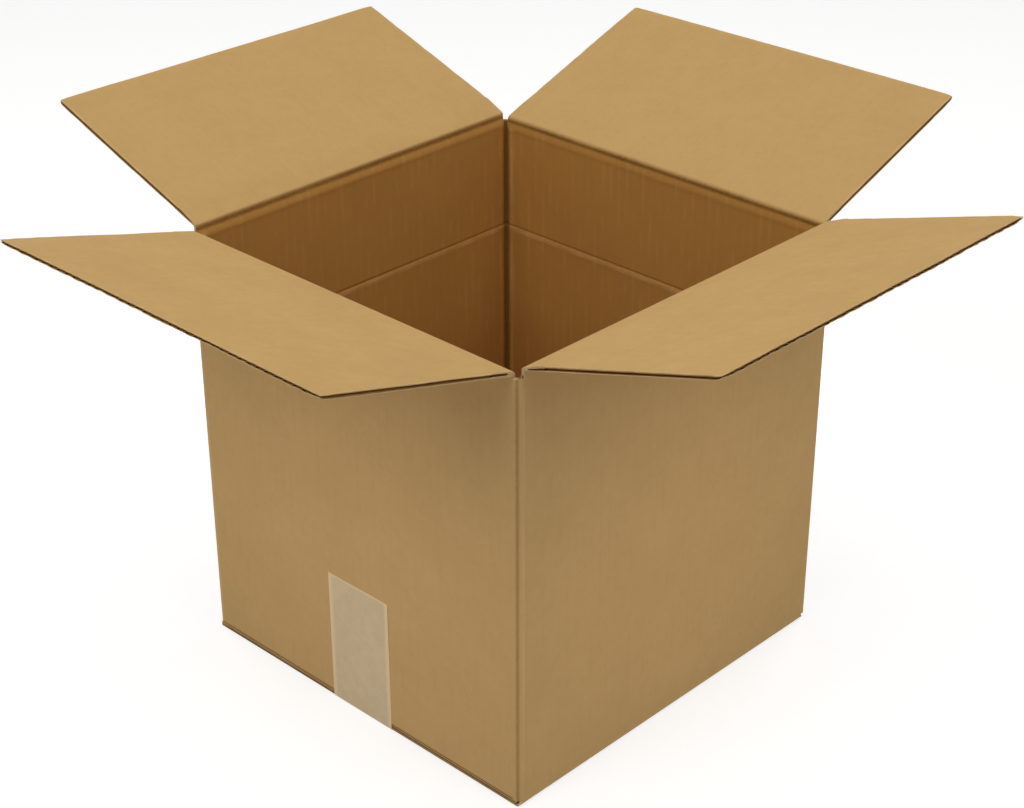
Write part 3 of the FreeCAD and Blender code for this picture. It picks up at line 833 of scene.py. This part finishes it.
def board_section():
    """Solid pattern of the board's section: 1 in the liners and the wavy sheet, and 0 in the
    hollows, which are crushed shut beside the top creases."""
    group, given, end = new_group("board section", [("Place", "NodeSocketVector")], ["Paper"])
    apart = node(group, "ShaderNodeSeparateXYZ", {0: given["Place"]}).outputs
    turns = maths(group, "DIVIDE", apart["X"], FLUTE_PITCH)
    wave = maths(group, "SINE", maths(group, "MULTIPLY", turns, 2 * math.pi))
    wave = maths(group, "MULTIPLY_ADD", wave, FLUTE_SWING, BOARD / 2)
    from_wave = maths(group, "ABSOLUTE", maths(group, "SUBTRACT", apart["Z"], wave))
    from_middle = maths(group, "ABSOLUTE", maths(group, "SUBTRACT", apart["Z"], BOARD / 2))
    in_wave = ranged(group, from_wave, MEDIUM * 0.75, MEDIUM * 0.45)
    in_liner = ranged(group, from_middle, BOARD / 2 - LINER * 1.15, BOARD / 2 - LINER * 0.85)
    flake = noise(group, given["Place"], 700.0, 2.0)
    from_crease = maths(group, "ADD", maths(group, "ABSOLUTE", apart["Y"]),
                        maths(group, "MULTIPLY_ADD", flake, 7.0 * MM, -3.5 * MM))
    crushed = ranged(group, from_crease, 4.0 * MM, 2.2 * MM)
    solid = maths(group, "MAXIMUM", maths(group, "MAXIMUM", in_wave, in_liner), crushed)
    group.links.new(solid, end.inputs["Paper"])
    return group


FIBRES = paper_fibres()
FLUTES = flute_lines()
WEAR_AND_SHADING = fold_wear_and_shading()
SECTION = board_section()


def new_material(name, roughness, specular):
    """Material with a plain Principled shader, and the board's two attributes as sockets."""
    material = bpy.data.materials.new(name)
    material.use_nodes = True
    tree = material.node_tree
    shader = tree.nodes["Principled BSDF"]
    shader.inputs["Roughness"].default_value = roughness
    shader.inputs["Specular IOR Level"].default_value = specular
    place = node(tree, "ShaderNodeAttribute", attribute_name="blank").outputs["Vector"]
    press = node(tree, "ShaderNodeAttribute", attribute_name="press").outputs["Fac"]
    return material, tree, shader, place, press


def kraft(name, paper_colour, flute_shading, ridge_height):
    """Kraft liner: clouded paper with fibres, flute lines of painted shade and light, and pressed
    creases and rub-worn ridges that also carry painted shade and painted highlights.
    """
    material, tree, shader, place, press = new_material(name, 0.78, 0.22)
    paper = use_group(tree, FIBRES, {"Place": place})
    lines = use_group(tree, FLUTES, {"Place": place, "Pitch": FLUTE_PITCH})
    wear_and_shading = use_group(tree, WEAR_AND_SHADING, {"Place": place, "Press": press})
    colour = blend_colour(tree, ranged(tree, paper["Tone"], 0.28, 0.72),
                          linear(paper_colour, 0.955), linear(paper_colour, 1.045))
    colour = blend_colour(tree, maths(tree, "MULTIPLY", paper["Fleck"], 0.14), colour,
                          linear(KRAFT_FLECK))
    # Painted shade along the flutes and painted light between them, strongest on the inner walls
    colour = blend_colour(tree, maths(tree, "MULTIPLY", lines["Flute Shade"], flute_shading), colour,
                          linear(KRAFT_FLUTE_SHADE))
    colour = blend_colour(tree, maths(tree, "MULTIPLY", lines["Flute Light"], flute_shading * 0.3),
                          colour, linear(KRAFT_RUBBED_AND_LIT))
    # Painted shade and painted highlights at folds, creases and the score line, with pressed lines
    # and rubbed paper
    colour = blend_colour(tree, maths(tree, "MULTIPLY", wear_and_shading["Pressed"], 0.85), colour,
                          linear(KRAFT_PRESSED_AND_SHADED))
    colour = blend_colour(tree, maths(tree, "MULTIPLY", wear_and_shading["Rubbed And Lit"], 0.7), colour,
                          linear(KRAFT_RUBBED_AND_LIT))
    tree.links.new(colour, shader.inputs["Base Color"])
    tree.links.new(ranged(tree, paper["Tone"], 0.3, 0.7, 0.86, 0.72), shader.inputs["Roughness"])
    height = maths(tree, "MULTIPLY_ADD", lines["Ridge"], ridge_height,
                   maths(tree, "MULTIPLY", paper["Height"], 0.03 * MM))
    relief = node(tree, "ShaderNodeBump", {"Height": height, "Strength": 1.0, "Distance": 1.0})
    tree.links.new(relief.outputs["Normal"], shader.inputs["Normal"])
    return material


def board_core(name):
    """Cut edges: pale paper lines of liners and wavy sheet, with painted shade for the hollows
    between them.
    """
    material, tree, shader, place, press = new_material(name, 0.9, 0.02)
    paper = use_group(tree, FIBRES, {"Place": place})
    section = use_group(tree, SECTION, {"Place": place})
    fibrous = blend_colour(tree, ranged(tree, paper["Tone"], 0.3, 0.7),
                           linear(CORE_PAPER, 0.7), linear(CORE_PAPER))
    # Painted shade where the hollows lie, on a flat cut face
    colour = blend_colour(tree, section["Paper"], linear(CORE_SHADE), fibrous)
    # Cut edges lighter where the press attribute is high: rubbed edges, and painted highlights
    # that run on from the faces
    colour = blend_colour(tree, maths(tree, "MULTIPLY", press, 0.6), colour, linear(KRAFT_RUBBED_AND_LIT))
    tree.links.new(colour, shader.inputs["Base Color"])
    relief = node(tree, "ShaderNodeBump", {"Height": paper["Height"], "Strength": 0.4,
                                           "Distance": 0.1 * MM})
    tree.links.new(relief.outputs["Normal"], shader.inputs["Normal"])
    return material


def flute_paper(name):
    """The wavy sheet: darker recycled paper with fibres."""
    material, tree, shader, place, press = new_material(name, 0.9, 0.02)
    paper = use_group(tree, FIBRES, {"Place": place})
    colour = blend_colour(tree, ranged(tree, paper["Tone"], 0.3, 0.7),
                          linear(WAVE_PAPER, 0.7), linear(WAVE_PAPER))
    tree.links.new(colour, shader.inputs["Base Color"])
    return material


def packing_tape(name):
    """Thin clear film over kraft board, which reads pale, smooth and a little glossy."""
    material, tree, shader, place, press = new_material(name, 0.38, 0.45)
    paper = use_group(tree, FIBRES, {"Place": place})
    wear_and_shading = use_group(tree, WEAR_AND_SHADING, {"Place": place, "Press": press})
    colour = blend_colour(tree, ranged(tree, paper["Tone"], 0.3, 0.7),
                          linear(TAPE_FILM, 0.90), linear(TAPE_FILM, 1.10))
    colour = blend_colour(tree, wear_and_shading["Rubbed And Lit"], colour, linear(TAPE_RIM))
    tree.links.new(colour, shader.inputs["Base Color"])
    cloud = noise(tree, stretched(tree, place, (60.0, 18.0, 1.0)), 1.0, 2.0)
    tree.links.new(ranged(tree, cloud, 0.3, 0.7, 0.34, 0.5), shader.inputs["Roughness"])
    relief = node(tree, "ShaderNodeBump", {"Height": cloud, "Strength": 0.5, "Distance": 0.5 * MM})
    tree.links.new(relief.outputs["Normal"], shader.inputs["Normal"])
    return material


# Pieces

kraft_outside = kraft("kraft_outside", KRAFT_OUTER, 0.08, 0.012 * MM)
kraft_inside = kraft("kraft_inside", KRAFT, 0.06, 0.008 * MM)
# Inner walls: the same liner as the flaps' inner faces, darker and browner as painted shade inside
# the box, with stronger painted flute shade
kraft_inner_walls_shaded = kraft("kraft_inner_walls_shaded", KRAFT_INNER_SHADED, 0.42, 0.04 * MM)
cut_edge = board_core("board_core")
wavy_sheet = flute_paper("flute_paper")
clear_tape = packing_tape("clear_tape")

BOARD_FINISHES = [kraft_outside, kraft_inside, kraft_inner_walls_shaded, cut_edge, wavy_sheet]
OUTSIDE, INSIDE, INNER_WALL_SHADED, CORE, WAVE = range(len(BOARD_FINISHES))

shell_sheets = [wall_shell((OUTSIDE, INNER_WALL_SHADED, CORE))]
shell_sheets += [bottom_flap(wall, (OUTSIDE, INNER_WALL_SHADED, CORE)) for wall in WALLS[:4]]
carton_shell = piece("carton_shell", shell_sheets, BOARD_FINISHES)
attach(carton_shell, "carton")
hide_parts("carton_body")

tape = piece("packing_tape", [tape_strip((0, 0, 0))], [clear_tape])
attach(tape, "carton")
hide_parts("bottom_tape")

for side in ("front", "right", "back", "left"):
    flap = TopFlap(side)
    panel_sheets = flap_panel(flap, (OUTSIDE, INSIDE, CORE), WAVE)
    panel = piece(side + "_flap_board", panel_sheets, BOARD_FINISHES)
    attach(panel, flap.body)
    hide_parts(flap.node)
    crease_sheets = [flap_crease(flap, (OUTSIDE, INSIDE, CORE), INNER_WALL_SHADED)]
    crease = piece(side + "_flap_crease", crease_sheets, BOARD_FINISHES)
    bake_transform(crease)


# Floor, light and camera


def seen_directly(tree):
    """1 where the camera, a reflection or a clear piece shows the surface, and 0 for its light."""
    rays = node(tree, "ShaderNodeLightPath").outputs
    through = maths(tree, "MAXIMUM", rays["Is Glossy Ray"], rays["Is Transmission Ray"])
    return maths(tree, "MAXIMUM", rays["Is Camera Ray"], through)


def pale_floor():
    """Large white floor that shows white to the camera and keeps the object's soft shadow."""
    mesh = bpy.data.meshes.new("floor")
    far, level = 6.0, -0.2 * MM
    corners = [(-far, -far, level), (far, -far, level), (far, far, level), (-far, far, level)]
    mesh.from_pydata(corners, [], [(0, 1, 2, 3)])
    floor = bpy.data.objects.new("floor", mesh)
    bpy.context.scene.collection.objects.link(floor)
    material = bpy.data.materials.new("floor_white")
    material.use_nodes = True
    tree = material.node_tree
    shader = tree.nodes["Principled BSDF"]
    shader.inputs["Base Color"].default_value = linear(FLOOR_WHITE)
    shader.inputs["Roughness"].default_value = 1.0
    shader.inputs["Specular IOR Level"].default_value = 0.0
    glow = maths(tree, "MULTIPLY", seen_directly(tree), FLOOR_GLOW)
    tree.links.new(glow, shader.inputs["Emission Strength"])
    shader.inputs["Emission Color"].default_value = (1.0, 1.0, 1.0, 1.0)
    mesh.materials.append(material)


def studio_world(strength):
    """White surround: plain light for the object, pure white where it is seen directly."""
    world = bpy.data.worlds.new("studio")
    world.use_nodes = True
    bpy.context.scene.world = world
    tree = world.node_tree
    background = tree.nodes["Background"]
    background.inputs["Color"].default_value = (1.0, 1.0, 1.0, 1.0)
    shown = maths(tree, "MULTIPLY_ADD", seen_directly(tree), 1.0 - strength, strength)
    tree.links.new(shown, background.inputs["Strength"])


def soft_lamp(name, place, aim, size, share):
    """Square soft lamp. share is the part of full plain light that it gives at the aim."""
    light = bpy.data.lights.new(name, "AREA")
    light.size = size
    reach = (Vector(aim) - Vector(place)).length
    light.energy = share * (math.pi * reach) ** 2
    lamp = bpy.data.objects.new(name, light)
    lamp.location = place
    lamp.visible_camera = False
    lamp.rotation_mode = "QUATERNION"
    lamp.rotation_quaternion = (Vector(aim) - Vector(place)).to_track_quat("-Z", "Y")
    bpy.context.scene.collection.objects.link(lamp)


def photo_camera():
    """Camera at the photograph's place: it looks back along its azimuth and elevation."""
    azimuth, elevation, roll = (math.radians(angle) for angle in (43.992, 28.308, -0.174))
    distance, aim_right, aim_up = 1.247, 0.00023, 0.1555
    lens_mm = 73.48
    back = Vector((math.sin(azimuth) * math.cos(elevation),
                   -math.cos(azimuth) * math.cos(elevation), math.sin(elevation)))
    right = Vector((math.cos(azimuth), math.sin(azimuth), 0.0))
    up = back.cross(right)
    target = right * aim_right + Vector((0, 0, aim_up))
    turned_right = right * math.cos(roll) + up * math.sin(roll)
    turned_up = up * math.cos(roll) - right * math.sin(roll)
    camera = bpy.data.objects.new("photo_camera", bpy.data.cameras.new("photo_camera"))
    camera.data.lens = lens_mm
    camera.data.sensor_width = 36.0
    camera.location = target + back * distance
    camera.rotation_mode = "QUATERNION"
    columns = np.array([turned_right, turned_up, back]).T
    camera.rotation_quaternion = Matrix(columns.tolist()).to_quaternion()
    bpy.context.scene.collection.objects.link(camera)
    bpy.context.scene.camera = camera


pale_floor()
studio_world(WORLD_LIGHT)
soft_lamp("overhead", (0.0, 0.0, 1.6), (0, 0, 0.25), 1.0, OVERHEAD_LIGHT)
for wall in WALLS[:4]:
    way = wall.outward
    soft_lamp(wall.name + "_side_lamp",
              (SIDE_LAMP_REACH * way[0], SIDE_LAMP_REACH * way[1], SIDE_LAMP_HEIGHT),
              (0, 0, 0.2), 0.8, SIDE_LIGHTS[wall.name])
    soft_lamp(wall.name + "_low_lamp",
              (LOW_LAMP_REACH * way[0], LOW_LAMP_REACH * way[1], LOW_LAMP_HEIGHT),
              (0.1 * way[0], 0.1 * way[1], 0.07), 0.26, LOW_LIGHTS[wall.name])
photo_camera()

view = bpy.context.scene.view_settings
view.view_transform = "Standard"
